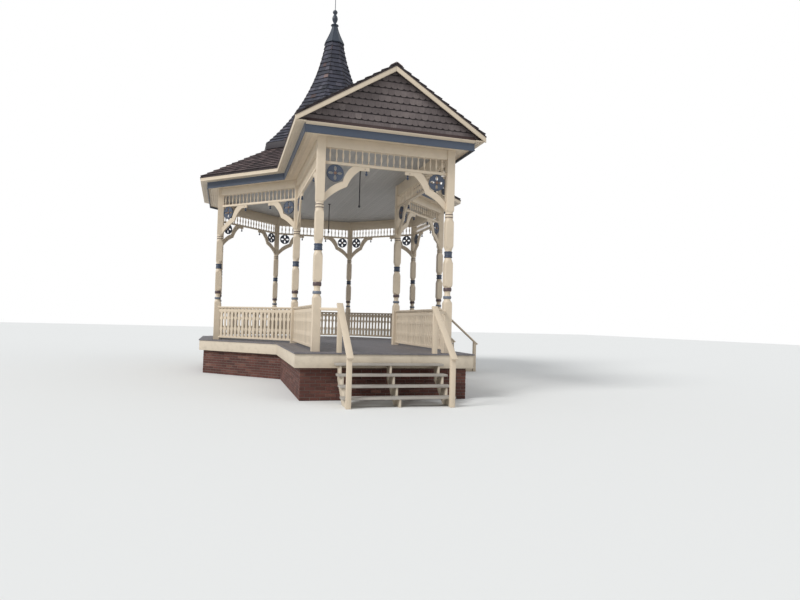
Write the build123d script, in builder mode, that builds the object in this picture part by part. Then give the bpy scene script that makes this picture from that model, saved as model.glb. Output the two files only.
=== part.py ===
"""Octagonal bandstand with a deep gabled porch on its front side.

The origin lies on the ground at the middle of the octagon, +Z is up and the porch faces -Y.
A bay is the stretch between two neighbouring posts. A "spread" is a distance outward from the
line through the middles of the posts.
"""
import os
from math import atan2, degrees, hypot, pi, radians, sin, cos, tan

from build123d import *

# Plan, to the middles of the posts
bay = 3050
porch_depth = 4330
post_width = 185
joint = 2

# Foundation and deck
deck_height = 1025
deck_spread = 510
floor_thickness = 28
nosing = 22
deck_fascia_thickness = 25
deck_fascia_height = 296
rim_width = 200
joist_height = 190
joist_width = 50
joist_pitch = 610
wall_spread = 360
wall_thickness = 230
pier_width = 610

# Stairs
riser_count = 5
tread_run = 254
tread_thickness = 45
tread_nosing = 26
tread_half_width = 1190
stringer_thickness = 45
stringer_offset = 1085
stringer_throat = 240
newel_width = 100
newel_height = 960
low_newel_height = 1030
newel_offset = 1080
top_newel_setback = 5
handrail_width = 135
handrail_thickness = 45
handrail_overhang = 110
level_rail_height = 65
level_rail_thickness = 40

# Turned posts: bottoms and tops of their square blocks and rings, as heights above the deck
base_height = 1167
neck_rings = ((1254, 1320), (1430, 1518))
middle_square = (1529, 2101)
band_rings = ((2211, 2260), (2316, 2365))
upper_square = (2464, 3060)
capital_rings = ((3139, 3155), (3165, 3221), (3231, 3247))
top_square = 3282
block_chamfer = 22
shoulder_radius = 88
ring_radius = 97
ring_rounding = 8
neck_radius = 75
neck_waist = 69
band_waist = 89
capital_waist = 86

# Frieze and beams, heights above the deck
frieze_bottom = 4150
frieze_rail_height = 60
frieze_rail_width = 70
spindle_count = 19
spindle_pitch = 147
spindle_profile = ((0, 13), (100, 24), (200, 24), (300, 13))
beam_width = 140
beam_height = 330

# Brackets under the frieze, reaches from the face of the post and drops below the frieze
bracket_foot = (0, 845)
bracket_cusp = (507, 478)
bracket_toe = (800, 85)
bracket_reach = 1010
bracket_spring = (629, 0)
bracket_inner_cusp = (413, 363)
bracket_heel = (0, 660)
bracket_bow = 38
bracket_thickness = 45
disc_centre = (234, 190)
disc_radius = 195
disc_sides = 24
disc_thickness = 40
petal_reaches = (50, 165)
petal_half_width = 40
boss_radius = 34
boss_thickness = 60
pendant_reach = 945
pendant_profile = ((0, 16), (22, 16), (50, 30), (78, 30), (104, 12))

# Guards between the posts, heights above the deck
guard_gap = 60
guard_height = 1030
guard_cap_height = 55
guard_cap_width = 120
guard_rail_height = 50
guard_rail_width = 60
guard_board = (866, 948)
guard_board_thickness = 45
guard_block_width = 90
baluster_pitch = 147
baluster_thickness = 32
baluster_edge = ((45, 110), (62, 345), (38, 400), (38, 620), (62, 675), (45, 866))

# Cornice, heights above the deck
soffit_bottom = 4740
soffit_thickness = 20
ceiling_thickness = 20
band_bottom = 4675
band_height = 195
band_spread = 435
band_thickness = 25
eave_spread = 640
eave_board_thickness = 22
eave_board_height = 95
crown_spread = 510
crown_height = 50
crown_lip = 14

# Roofs
roof_slope = 32
roof_spread = 650
roof_thickness = 85
roof_seat = 120
rake_spread = 580
rake_thickness = 30
rake_height = 115
rake_cover = 10
gable_wall_thickness = 40
collar_apothem = 2320
collar_height = 215
collar_thickness = 60
spire_apothem = 2340
spire_height = 4100
spire_top_apothem = 325
spire_bow = 330
spire_thickness = 60
bow_sections = 8

# Metal cap, finial and hanging rods; the finial's points are heights above its foot and radii
cap_apothem = 345
cap_skirt_height = 110
cap_height = 640
cap_top_apothem = 98
cap_bow = 35
finial_ring = (80, 140)
finial_neck = (157, 47)
finial_bulb = (331, 101)
finial_waist = (478, 44)
finial_cone = (589, 85)
finial_height = 663
rod_radius = 12
rod_length = 550
hanger_profile = ((0, 15), (18, 34), (52, 34), (70, 15), (1035, 15))
hanger_spacing = 5070

# Sizes that follow from those above
apothem = bay / 2 / tan(pi / 8)
corner_radius = bay / 2 / sin(pi / 8)
porch_front = apothem + porch_depth
riser = deck_height / riser_count
flight = (riser_count - 1) * tread_run
frame_top = deck_height - floor_thickness
frame_bottom = frame_top - joist_height
fascia_spread = deck_spread - nosing
rim_spread = fascia_spread - deck_fascia_thickness
beam_bottom = deck_height + frieze_bottom + frieze_rail_height + spindle_profile[-1][0]
beam_top = beam_bottom + beam_height
band_inside = band_spread - band_thickness
band_top = deck_height + band_bottom + band_height
eave_inside = eave_spread - eave_board_thickness
eave_top = band_top + eave_board_height
pitch = tan(radians(roof_slope))
roof_apothem = apothem + roof_spread
roof_half_width = bay / 2 + roof_spread
seat_half_width = roof_half_width - roof_seat
rake_back = rake_spread - rake_thickness
ridge = eave_top + roof_thickness + roof_half_width * pitch
ridge_inside = eave_top + seat_half_width * pitch
skirt_top = eave_top + roof_thickness + (roof_apothem - collar_apothem) * pitch
spire_bottom = skirt_top + collar_height
cap_bottom = spire_bottom + spire_height
finial_bottom = cap_bottom + cap_height

# Posts by name, with the places of their middles
POSTS = {
    "porch_left": (-bay / 2, -porch_front),
    "porch_right": (bay / 2, -porch_front),
}
OCTAGON_CORNERS = (
    "front_left",
    "front_right",
    "right_front",
    "right_back",
    "back_right",
    "back_left",
    "left_back",
    "left_front",
)
for index, corner in enumerate(OCTAGON_CORNERS):
    angle = radians(45 * index - 112.5)
    POSTS[corner] = (corner_radius * cos(angle), corner_radius * sin(angle))

# Bays in order around the outline, each with the posts at its ends
BAYS = {
    "porch_front": ("porch_left", "porch_right"),
    "porch_right": ("porch_right", "front_right"),
    "front_right": ("front_right", "right_front"),
    "right": ("right_front", "right_back"),
    "back_right": ("right_back", "back_right"),
    "back": ("back_right", "back_left"),
    "back_left": ("back_left", "left_back"),
    "left": ("left_back", "left_front"),
    "front_left": ("left_front", "front_left"),
    "porch_left": ("front_left", "porch_left"),
}
PORCH_BAYS = ("porch_front", "porch_right", "porch_left")
ENTRANCES = {"front": "porch_front", "side": "right"}

os.makedirs("parts", exist_ok=True)


def write(part, name):
    """Label a finished piece and write it as its own file."""
    part.label = name
    export_step(part, f"parts/{name}.step")


def bay_plane(name, level=0):
    """Upright plane along a bay: x runs along it, y is up and z points outward."""
    start, end = (Vector(*POSTS[post]) for post in BAYS[name])
    along = (end - start).normalized()
    middle = (start + end) / 2
    return Plane(origin=(middle.X, middle.Y, level), x_dir=along, z_dir=(along.Y, -along.X, 0))


def bay_length(name):
    """Distance between the middles of a bay's two posts."""
    start, end = (Vector(*POSTS[post]) for post in BAYS[name])
    return (end - start).length


def bay_place(name):
    """Location of a bay at the deck: x runs along it and z is up."""
    plane = bay_plane(name, deck_height)
    return Plane(plane.origin, x_dir=plane.x_dir, z_dir=(0, 0, 1)).location


def in_bays(make, names):
    """Make a piece once for each kind of bay, cut its ends to the posts, and set copies in the bays."""
    kinds = {}
    copies = []
    for name in names:
        along = bay_plane(name).x_dir
        turn = 45 * (round(degrees(atan2(along.Y, along.X)) / 45) % 2)
        kind = (round(bay_length(name), 3), turn)
        if kind not in kinds:
            length = kind[0]
            with BuildPart() as piece:
                make(length)
                with Locations((-length / 2, 0), (length / 2, 0)):
                    Box(post_width, post_width, 2 * beam_top, rotation=(0, 0, turn), mode=Mode.SUBTRACT)
            kinds[kind] = piece.part
        copies += kinds[kind].moved(bay_place(name)).solids()
    return Compound(copies)


def clear_posts():
    """Cut the room that the posts take."""
    with Locations(*[(x, y, beam_top / 2) for x, y in POSTS.values()]):
        Box(post_width, post_width, beam_top, mode=Mode.SUBTRACT)


def octagon(inner_radius, mode=Mode.ADD):
    """Regular octagon with one side towards the porch, which also stands for a turned section."""
    RegularPolygon(inner_radius, 8, major_radius=False, rotation=22.5, mode=mode)


def outline(spread, front_spread, mode=Mode.ADD):
    """Plan of octagon and porch together."""
    octagon(apothem + spread, mode)
    width = bay + 2 * spread
    Rectangle(width, porch_front + front_spread, align=(Align.CENTER, Align.MAX), mode=mode)


def ring(inner, outer, level, height):
    """Level ring between two spreads around octagon and porch."""
    with BuildSketch(Plane.XY.offset(level)) as profile:
        outline(outer, outer)
        outline(inner, inner, Mode.SUBTRACT)
    extrude(profile.sketch, amount=height)


def open_ring(inner, outer, level, height):
    """Level ring that stays open under the gable."""
    with BuildSketch(Plane.XY.offset(level)) as profile:
        outline(outer, rake_back)
        outline(inner, rake_spread, Mode.SUBTRACT)
    extrude(profile.sketch, amount=height)


def mitre_cuts(level, height, corners=tuple(POSTS)):
    """Open the joints between the boards that meet at these corners of the outline."""
    names = list(BAYS)
    with BuildSketch(Plane.XY.offset(level)) as cuts:
        for before, after in zip(names[-1:] + names, names):
            outward = bay_plane(before).z_dir + bay_plane(after).z_dir
            turn = degrees(atan2(outward.Y, outward.X))
            corner = BAYS[after][0]
            if corner in corners:
                with Locations(Location((*POSTS[corner], 0), (0, 0, turn))):
                    Rectangle(4 * roof_spread, joint)
    extrude(cuts.sketch, amount=height, mode=Mode.SUBTRACT)


def frustum(bottom, lower, top, upper, shape=octagon, mode=Mode.ADD):
    """Frustum between two levels, given by its shape and inner radii, drawn from its wide end."""
    level, upward = (bottom, 1) if lower >= upper else (top, -1)
    with BuildSketch(Plane((0, 0, level), z_dir=(0, 0, upward))) as base:
        shape(max(lower, upper))
    taper = degrees(atan2(abs(lower - upper), top - bottom))
    extrude(base.sketch, amount=top - bottom, taper=taper, mode=mode)


def hexagon(inner_radius):
    """Plainer outline for the many spindles."""
    RegularPolygon(inner_radius, 6, major_radius=False)


def turned(profile, foot=0, shape=octagon):
    """Upright turned piece from pairs of height above its foot and radius."""
    for (low, lower), (high, upper) in zip(profile, profile[1:]):
        if high > low:
            frustum(foot + low, lower, foot + high, upper, shape)


def bow_stops(curve):
    """Points that divide a curve into short straight stretches."""
    return [curve @ (index / bow_sections) for index in range(bow_sections + 1)]


def bowed_frustum(bottom, height, lower, upper, bow, mode=Mode.ADD):
    """Octagonal frustum whose sides sag inward in an arc, by the bow at their middle."""
    chord = hypot(height, lower - upper)
    radius = chord**2 / (8 * bow) + bow / 2
    with BuildLine(mode=Mode.PRIVATE) as side:
        RadiusArc((lower, bottom), (upper, bottom + height), radius)
    stops = bow_stops(side.line)
    for start, end in zip(stops, stops[1:]):
        frustum(start.Y, start.X, end.Y, end.X, mode=mode)


def roof_section(front, back, points):
    """Run a section across the porch, given by its right half, from front to back."""
    with BuildSketch(Plane.XZ.offset(front)) as section:
        with BuildLine():
            Polyline(*points, close=True)
        make_face()
        mirror(about=Plane.YZ)
    extrude(section.sketch, amount=back - front)


def upright(width, height):
    """Square upright on the ground of its location."""
    Box(width, width, height, align=(Align.CENTER, Align.CENTER, Align.MIN))


# Brick foundation wall around the deck, and the pier at its middle
with BuildPart() as foundation_wall:
    ring(wall_spread - wall_thickness, wall_spread, 0, frame_bottom)
write(foundation_wall.part, "foundation_wall")

with BuildPart() as centre_pier:
    upright(pier_width, frame_bottom)
write(centre_pier.part, "centre_pier")

# Rim beams and joists of the deck, its fascia boards and the two floors
with BuildPart() as rim_beams:
    ring(rim_spread - rim_width, rim_spread, frame_bottom, joist_height)
    mitre_cuts(frame_bottom, joist_height)
write(rim_beams.part, "rim_beams")

with BuildPart() as floor_joists:
    with BuildSketch(Plane.XY.offset(frame_bottom)):
        outline(rim_spread - rim_width, rim_spread - rim_width)
        with GridLocations(0, joist_pitch, 1, 2 * round(porch_front / joist_pitch) + 2):
            Rectangle(4 * apothem, joist_pitch - joist_width, mode=Mode.SUBTRACT)
    extrude(amount=joist_height)
write(floor_joists.part, "floor_joists")

with BuildPart() as deck_fascia:
    ring(rim_spread, fascia_spread, frame_top - deck_fascia_height, deck_fascia_height)
    mitre_cuts(frame_top - deck_fascia_height, deck_fascia_height)
write(deck_fascia.part, "deck_fascia")

with BuildPart() as octagon_floor:
    with BuildSketch(Plane.XY.offset(frame_top)):
        octagon(apothem + deck_spread)
    extrude(amount=floor_thickness)
write(octagon_floor.part, "octagon_floor")

with BuildPart() as porch_floor:
    with BuildSketch(Plane.XY.offset(frame_top)):
        outline(deck_spread, deck_spread)
        octagon(apothem + deck_spread, Mode.SUBTRACT)
    extrude(amount=floor_thickness)
write(porch_floor.part, "porch_floor")

# Stairs at both entrances, with newels and handrails
for title, entrance in ENTRANCES.items():
    edge = bay_plane(entrance).offset(fascia_spread)

    with BuildPart() as stringers:
        with BuildLine(mode=Mode.PRIVATE) as stringer_outline:
            under_top_tread = (riser_count - 1) * riser - tread_thickness
            steps = [(0, under_top_tread)]
            for step in range(1, riser_count):
                level = (riser_count - step) * riser - tread_thickness
                steps += [(step * tread_run, level), (step * tread_run, max(level - riser, 0))]
            throat = stringer_throat * hypot(riser, tread_run) / tread_run
            back_low = under_top_tread - throat
            Polyline(*steps, (back_low * tread_run / riser, 0), (0, back_low), close=True)
        for offset in (-stringer_offset, 0, stringer_offset):
            place = edge.origin + edge.x_dir * offset
            with BuildSketch(Plane(place, x_dir=edge.z_dir, z_dir=edge.x_dir * -1)):
                make_face(stringer_outline.edges())
            extrude(amount=stringer_thickness / 2, both=True)
    write(stringers.part, f"{title}_stringers")

    with BuildPart() as treads:
        for step in range(1, riser_count):
            with BuildSketch(edge.offset(step * tread_run + tread_nosing)):
                with Locations((0, (riser_count - step) * riser)):
                    Rectangle(2 * tread_half_width, tread_thickness, align=(Align.CENTER, Align.MAX))
            extrude(amount=joint - tread_run - tread_nosing)
    write(treads.part, f"{title}_treads")

    with BuildPart() as newels:
        top_reach = nosing - top_newel_setback - newel_width / 2
        low_reach = flight + tread_nosing + newel_width / 2
        rails = []
        for hand, post in zip((-1, 1), BAYS[entrance]):
            top = edge.from_local_coords((hand * newel_offset, deck_height, top_reach))
            low = edge.from_local_coords((hand * newel_offset, 0, low_reach))
            fall = low + Vector(0, 0, low_newel_height - newel_height) - top
            across = Vector(0, 0, 1).cross(fall)
            rail = Plane(top + Vector(0, 0, newel_height), x_dir=across, z_dir=fall)
            rails.append((rail, fall.length, top, Vector(*POSTS[post], deck_height)))
            with Locations(top, low):
                upright(newel_width, low_newel_height + newel_width)
            with BuildSketch(rail.offset(-2 * newel_width)):
                Rectangle(4 * newel_width, 4 * newel_width, align=(Align.CENTER, Align.MIN))
            extrude(amount=fall.length + 4 * newel_width, mode=Mode.SUBTRACT)
    write(newels.part, f"{title}_newels")

    with BuildPart() as handrails:
        for _, _, top, post in rails:
            with BuildSketch(Plane(top + Vector(0, 0, newel_height), x_dir=(0, 0, 1), z_dir=post - top)):
                Rectangle(level_rail_height, level_rail_thickness, align=(Align.MAX, Align.CENTER))
            extrude(amount=(post - top).length)
            with Locations(top):
                Box(newel_width, newel_width, 2 * newel_height, mode=Mode.SUBTRACT)
        clear_posts()
        for rail, length, _, _ in rails:
            with BuildSketch(rail.offset(-handrail_overhang)):
                Rectangle(handrail_width, handrail_thickness, align=(Align.CENTER, Align.MIN))
            extrude(amount=length + 2 * handrail_overhang)
    write(handrails.part, f"{title}_handrails")


def turned_stretch(start, rings, finish, neck, waist):
    """Turned stretch of a post between two square blocks, as pairs of height and radius."""
    points = [(start, shoulder_radius)]
    for low, high in rings:
        rounding = min(ring_rounding, (high - low) / 3)
        points += [
            (low, neck if low == rings[0][0] else waist),
            (low, ring_radius - rounding),
            (low + rounding, ring_radius),
            (high - rounding, ring_radius),
            (high, ring_radius - rounding),
            (high, neck if high == rings[-1][1] else waist),
        ]
    return points + [(finish, shoulder_radius)]


# Posts: square blocks with chamfered ends, and turned necks and rings between them
with BuildPart() as post:
    for low, high in ((0, base_height), middle_square, upper_square, (top_square, beam_top - deck_height)):
        with Locations((0, 0, low)):
            upright(post_width, high - low)
    ends = post.edges().filter_by(Plane.XY).group_by(Axis.Z)[1:-1]
    chamfer([edge for group in ends for edge in group], block_chamfer)
    turned(turned_stretch(base_height, neck_rings, middle_square[0], neck_radius, neck_waist))
    turned(turned_stretch(middle_square[1], band_rings, upper_square[0], neck_radius, band_waist))
    turned(turned_stretch(upper_square[1], capital_rings, top_square, capital_waist, capital_waist))

for title, names in {"octagon_posts": OCTAGON_CORNERS, "porch_posts": BAYS["porch_front"]}.items():
    places = [Location((*POSTS[name], deck_height)) for name in names]
    write(Compound([post.part.moved(place) for place in places]), title)

# Beams on the line of posts
with BuildPart() as beams:
    for name in BAYS:
        with BuildSketch(bay_plane(name, beam_bottom).offset(-beam_width / 2)):
            Rectangle(bay_length(name), beam_height, align=(Align.CENTER, Align.MIN))
        extrude(amount=beam_width)
    clear_posts()
write(beams.part, "beams")


def frieze(length):
    """Rail with a row of turned spindles that hangs from the beam of a bay."""
    with Locations((0, 0, frieze_bottom)):
        Box(length, frieze_rail_width, frieze_rail_height, align=(Align.CENTER, Align.CENTER, Align.MIN))
    count = spindle_count + round((length - bay) / spindle_pitch)
    with GridLocations(spindle_pitch, 0, count, 1):
        add(spindle.part)


def guard(length):
    """Cap, board and bottom rail between two posts, with sawn balusters and blocks under the cap."""
    cap_bottom = guard_height - guard_cap_height
    board_bottom, board_top = guard_board
    for low, height, width in (
        (guard_gap, guard_rail_height, guard_rail_width),
        (board_bottom, board_top - board_bottom, guard_board_thickness),
        (cap_bottom, guard_cap_height, guard_cap_width),
    ):
        with Locations((0, 0, low)):
            Box(length, width, height, align=(Align.CENTER, Align.CENTER, Align.MIN))
    count = int((length - post_width) / baluster_pitch)
    with BuildSketch(Plane.XZ.offset(-baluster_thickness / 2)) as row:
        with GridLocations(baluster_pitch, 0, count, 1):
            add(baluster_face.sketch)
            with Locations((0, board_top)):
                Rectangle(guard_block_width, cap_bottom - board_top, align=(Align.CENTER, Align.MIN))
    extrude(row.sketch, amount=baluster_thickness)


# Spindle friezes in every bay, and guards wherever there is no stair
with BuildPart() as spindle:
    turned(spindle_profile, frieze_bottom + frieze_rail_height, hexagon)

with BuildSketch() as baluster_face:
    with BuildLine():
        Polyline(*baluster_edge, *[(-x, y) for x, y in reversed(baluster_edge)], close=True)
    make_face()

octagon_bays = [name for name in BAYS if name not in PORCH_BAYS]
for group, names in {"octagon": octagon_bays, "porch": PORCH_BAYS}.items():
    write(in_bays(frieze, names), f"{group}_friezes")
    guarded = [name for name in names if name not in ENTRANCES.values()]
    write(in_bays(guard, guarded), f"{group}_guards")


def bow_point(start, end):
    """Top of the arc that a bracket's edge makes between two points."""
    across = (Vector(*end) - Vector(*start)).normalized().rotate(Axis.Z, 90)
    return (Vector(*start) + Vector(*end)) / 2 + across * bracket_bow


def under_frieze(point):
    """Point of a bracket as seen from the middle of its post, with y up from the frieze."""
    reach, drop = point
    return post_width / 2 + reach, -drop


# Brackets, pierced discs and drop pendants in both upper corners of each bay
with BuildSketch() as bracket_face:
    with BuildLine():
        foot, cusp, toe = map(under_frieze, (bracket_foot, bracket_cusp, bracket_toe))
        spring, inner_cusp, heel = map(under_frieze, (bracket_spring, bracket_inner_cusp, bracket_heel))
        end = under_frieze((bracket_reach, 0))
        ThreePointArc(foot, bow_point(foot, cusp), cusp)
        ThreePointArc(cusp, bow_point(cusp, toe), toe)
        Polyline(toe, (end[0], toe[1]), end, spring)
        ThreePointArc(inner_cusp, bow_point(inner_cusp, spring), spring)
        ThreePointArc(heel, bow_point(heel, inner_cusp), inner_cusp)
        Polyline(heel, (0, heel[1]), (0, foot[1]), foot)
    make_face()

with BuildSketch() as petal:
    root, tip = petal_reaches
    shoulder = (tip - root) / 3
    with BuildLine():
        Polyline((root, 0), (root + shoulder, petal_half_width), (tip - shoulder, petal_half_width), (tip, 0))
        mirror(about=Plane.XZ)
    make_face()

with BuildSketch() as disc_face:
    with Locations(under_frieze(disc_centre)):
        RegularPolygon(disc_radius, disc_sides)
        with PolarLocations(0, 4):
            add(petal.sketch, mode=Mode.SUBTRACT)
    with Locations((0, 0)):
        Rectangle(2 * bracket_reach, disc_radius, align=(Align.CENTER, Align.MIN), mode=Mode.SUBTRACT)


def corner_pair(face, length, thickness):
    """Flat pieces in both corners of a bay, drawn from the middle of the left post."""
    with BuildSketch(Plane.XZ.offset(-thickness / 2)) as pair:
        with Locations((-length / 2, frieze_bottom)):
            add(face)
        mirror(about=Plane.YZ)
    extrude(pair.sketch, amount=thickness)


def bracket_pair(length):
    """Brackets of a bay."""
    corner_pair(bracket_face.sketch, length, bracket_thickness)


def disc_pair(length):
    """Pierced discs of a bay, each with a boss at its middle."""
    corner_pair(disc_face.sketch, length, disc_thickness)
    with BuildSketch() as boss:
        with Locations(under_frieze(disc_centre)):
            octagon(boss_radius)
    corner_pair(boss.sketch, length, boss_thickness)


def pendant_pair(length):
    """Drop pendants under the ends of a bay's brackets."""
    reach = (length - post_width) / 2 - pendant_reach
    with Locations((-reach, 0), (reach, 0)):
        add(pendant.part)


with BuildPart() as pendant:
    drop = pendant_profile[-1][0]
    upward = [(drop - depth, radius) for depth, radius in reversed(pendant_profile)]
    turned(upward, frieze_bottom - bracket_toe[1] - drop)

write(in_bays(bracket_pair, BAYS), "brackets")
write(in_bays(disc_pair, BAYS), "corner_discs")
write(in_bays(pendant_pair, BAYS), "drop_pendants")

# Ceilings on the beams, and rods that hang from them
with BuildPart() as octagon_ceiling:
    with BuildSketch(Plane.XY.offset(beam_top)):
        octagon(apothem + beam_width / 2)
    extrude(amount=ceiling_thickness)
write(octagon_ceiling.part, "octagon_ceiling")

with BuildPart() as porch_ceiling:
    with BuildSketch(Plane.XY.offset(beam_top)):
        outline(beam_width / 2, beam_width / 2)
        octagon(apothem + beam_width / 2, Mode.SUBTRACT)
    extrude(amount=ceiling_thickness)
write(porch_ceiling.part, "porch_ceiling")

with BuildPart() as hanger:
    turned(hanger_profile, beam_top - hanger_profile[-1][0])

with BuildPart() as hanging_rods:
    with Locations((0, 0), (0, -hanger_spacing)):
        add(hanger.part)
write(hanging_rods.part, "hanging_rods")

# Cornice: soffits, blue band, eave boards, and the crown moulding under the gable
with BuildPart() as lower_soffit:
    ring(beam_width / 2, band_inside, deck_height + soffit_bottom, soffit_thickness)
    mitre_cuts(deck_height + soffit_bottom, soffit_thickness)
    clear_posts()
write(lower_soffit.part, "lower_soffit")

with BuildPart() as cornice_band:
    ring(band_inside, band_spread, band_top - band_height, band_height)
    mitre_cuts(band_top - band_height, band_height)
write(cornice_band.part, "cornice_band")

with BuildPart() as upper_soffit:
    open_ring(band_inside, eave_inside, band_top, soffit_thickness)
    mitre_cuts(band_top, soffit_thickness, OCTAGON_CORNERS)
write(upper_soffit.part, "upper_soffit")

with BuildPart() as eave_boards:
    open_ring(eave_inside, eave_spread, band_top, eave_board_height)
    mitre_cuts(band_top, eave_board_height, OCTAGON_CORNERS)
write(eave_boards.part, "eave_boards")

with BuildPart() as crown_moulding:
    half_length = bay / 2 + band_inside
    with BuildSketch(Plane.YZ.offset(-half_length)):
        with BuildLine():
            back, front = -porch_front - band_spread, -porch_front - crown_spread
            low, high = band_top - crown_height / 2, band_top + crown_height / 2
            foot, lip = (back - crown_lip, low), (front, high - crown_lip)
            Polyline(lip, (front, high), (back, high), (back, low), foot)
            RadiusArc(foot, lip, crown_spread - band_spread)
        make_face()
    extrude(amount=2 * half_length)
write(crown_moulding.part, "crown_moulding")

# Skirt roof of the octagon, the collar above it and the bowed spire
with BuildPart() as skirt_roof:
    with BuildSketch(Plane.XY.offset(eave_top)):
        octagon(roof_apothem)
    extrude(amount=roof_thickness)
    frustum(eave_top + roof_thickness, roof_apothem, skirt_top, collar_apothem)
    seat = roof_apothem - roof_seat
    frustum(eave_top, seat, skirt_top, seat - (skirt_top - eave_top) / pitch, mode=Mode.SUBTRACT)
write(skirt_roof.part, "skirt_roof")

with BuildPart() as collar:
    with BuildSketch(Plane.XY.offset(skirt_top)):
        octagon(collar_apothem)
        octagon(collar_apothem - collar_thickness, Mode.SUBTRACT)
    extrude(amount=collar_height)
write(collar.part, "collar")

with BuildPart() as spire:
    bowed_frustum(spire_bottom, spire_height, spire_apothem, spire_top_apothem, spire_bow)
    hollow = spire_apothem - 2 * spire_thickness
    hollow_top = spire_top_apothem - spire_thickness
    bowed_frustum(spire_bottom, spire_height, hollow, hollow_top, spire_bow, Mode.SUBTRACT)
write(spire.part, "spire")

# Metal cap of the spire with its finial and rod
with BuildPart() as spire_cap:
    with BuildSketch(Plane.XY.offset(cap_bottom)):
        octagon(cap_apothem)
    extrude(amount=cap_skirt_height)
    flare_bottom = cap_bottom + cap_skirt_height
    bowed_frustum(flare_bottom, cap_height - cap_skirt_height, cap_apothem, cap_top_apothem, cap_bow)
write(spire_cap.part, "spire_cap")

with BuildPart() as finial:
    with BuildLine(mode=Mode.PRIVATE) as bulb:
        ThreePointArc(finial_neck, finial_bulb, finial_waist)
    bulb_profile = [(stop.X, stop.Y) for stop in bow_stops(bulb.line)]
    rod_profile = [(finial_height, rod_radius), (finial_height + rod_length, rod_radius)]
    turned([(0, cap_top_apothem), finial_ring, *bulb_profile, finial_cone, *rod_profile], finial_bottom)
write(finial.part, "finial")

# Porch roof that runs back over the skirt roof to the collar, with its gable
with BuildPart() as porch_roof:
    shell = [(0, ridge), (roof_half_width, eave_top + roof_thickness), (roof_half_width, eave_top)]
    roof_section(porch_front + rake_back, 0, shell + [(seat_half_width, eave_top), (0, ridge_inside)])
    roof_section(
        porch_front + rake_spread + rake_cover,
        porch_front + rake_back,
        shell + [(0, ridge - roof_thickness)],
    )
    with BuildSketch(Plane.XY.offset(eave_top)) as skirt_edge:
        octagon(roof_apothem)
    extrude(skirt_edge.sketch, amount=roof_thickness, mode=Mode.SUBTRACT)
    frustum(eave_top + roof_thickness, roof_apothem, skirt_top, collar_apothem, mode=Mode.SUBTRACT)
    with BuildSketch(Plane.XY.offset(skirt_top)) as collar_foot:
        octagon(collar_apothem)
    extrude(collar_foot.sketch, amount=collar_height, mode=Mode.SUBTRACT)
write(porch_roof.part, "porch_roof")

with BuildPart() as gable_wall:
    roof_section(
        porch_front + band_spread,
        porch_front + band_spread - gable_wall_thickness,
        [
            (0, band_top),
            (bay / 2 + band_inside, band_top),
            (bay / 2 + band_inside, eave_top),
            (seat_half_width, eave_top),
            (0, ridge_inside),
        ],
    )
write(gable_wall.part, "gable_wall")

with BuildPart() as rake_boards:
    roof_section(
        porch_front + rake_spread,
        porch_front + rake_back,
        [
            (joint / 2, ridge - roof_thickness - joint / 2 * pitch),
            (roof_half_width, eave_top),
            (roof_half_width, eave_top - rake_height),
            (joint / 2, ridge - roof_thickness - rake_height - joint / 2 * pitch),
        ],
    )
write(rake_boards.part, "rake_boards")
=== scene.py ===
"""Finish of the octagonal bandstand: turned posts, sawn trim, shingled roofs, brick and paint.

Everything is in metres in the frame of the solids: the origin is on the ground at the middle of
the octagon, +Z is up, the porch faces -Y and the second stair faces +X. A bay is the stretch
between two posts, and a spread is a distance outward from the line of posts.
"""
import random
from math import atan2, cos, hypot, pi, radians, sin, tan

import bmesh
import bpy
from mathutils import Matrix, Vector
from mathutils.geometry import tessellate_polygon


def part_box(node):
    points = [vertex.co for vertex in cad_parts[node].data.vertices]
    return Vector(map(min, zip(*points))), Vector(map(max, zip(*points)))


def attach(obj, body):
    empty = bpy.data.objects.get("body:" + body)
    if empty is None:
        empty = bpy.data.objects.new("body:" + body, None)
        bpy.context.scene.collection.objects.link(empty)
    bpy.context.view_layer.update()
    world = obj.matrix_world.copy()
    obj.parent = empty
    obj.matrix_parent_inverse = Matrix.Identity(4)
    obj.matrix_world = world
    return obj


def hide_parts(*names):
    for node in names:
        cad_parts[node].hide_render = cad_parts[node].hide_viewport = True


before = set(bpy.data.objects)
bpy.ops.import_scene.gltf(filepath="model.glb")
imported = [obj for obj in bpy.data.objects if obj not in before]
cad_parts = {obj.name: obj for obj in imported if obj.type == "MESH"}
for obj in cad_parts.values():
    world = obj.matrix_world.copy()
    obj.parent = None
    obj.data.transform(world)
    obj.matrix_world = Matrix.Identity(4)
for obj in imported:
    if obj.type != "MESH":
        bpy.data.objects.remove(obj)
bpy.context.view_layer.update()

RANDOM = random.Random(31)

# Plan and levels, read from the solids
BEAM_WIDTH = 0.14
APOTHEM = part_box("beams")[1].x - BEAM_WIDTH / 2
BAY = 2 * APOTHEM * tan(pi / 8)
PORCH_FRONT = -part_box("beams")[0].y - BEAM_WIDTH / 2
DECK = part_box("porch_floor")[1].z
FRAME_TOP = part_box("porch_floor")[0].z
WALL_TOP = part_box("foundation_wall")[1].z
BEAM_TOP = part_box("beams")[1].z
FRIEZE_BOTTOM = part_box("octagon_friezes")[0].z
RAIL_TOP = FRIEZE_BOTTOM + 0.06
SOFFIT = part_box("lower_soffit")[0].z
BAND_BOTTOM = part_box("cornice_band")[0].z
BAND_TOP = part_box("cornice_band")[1].z
EAVE_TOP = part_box("eave_boards")[1].z
SPIRE_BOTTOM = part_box("spire")[0].z
SPIRE_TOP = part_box("spire")[1].z
CAP_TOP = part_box("spire_cap")[1].z
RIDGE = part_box("porch_roof")[1].z

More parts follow.
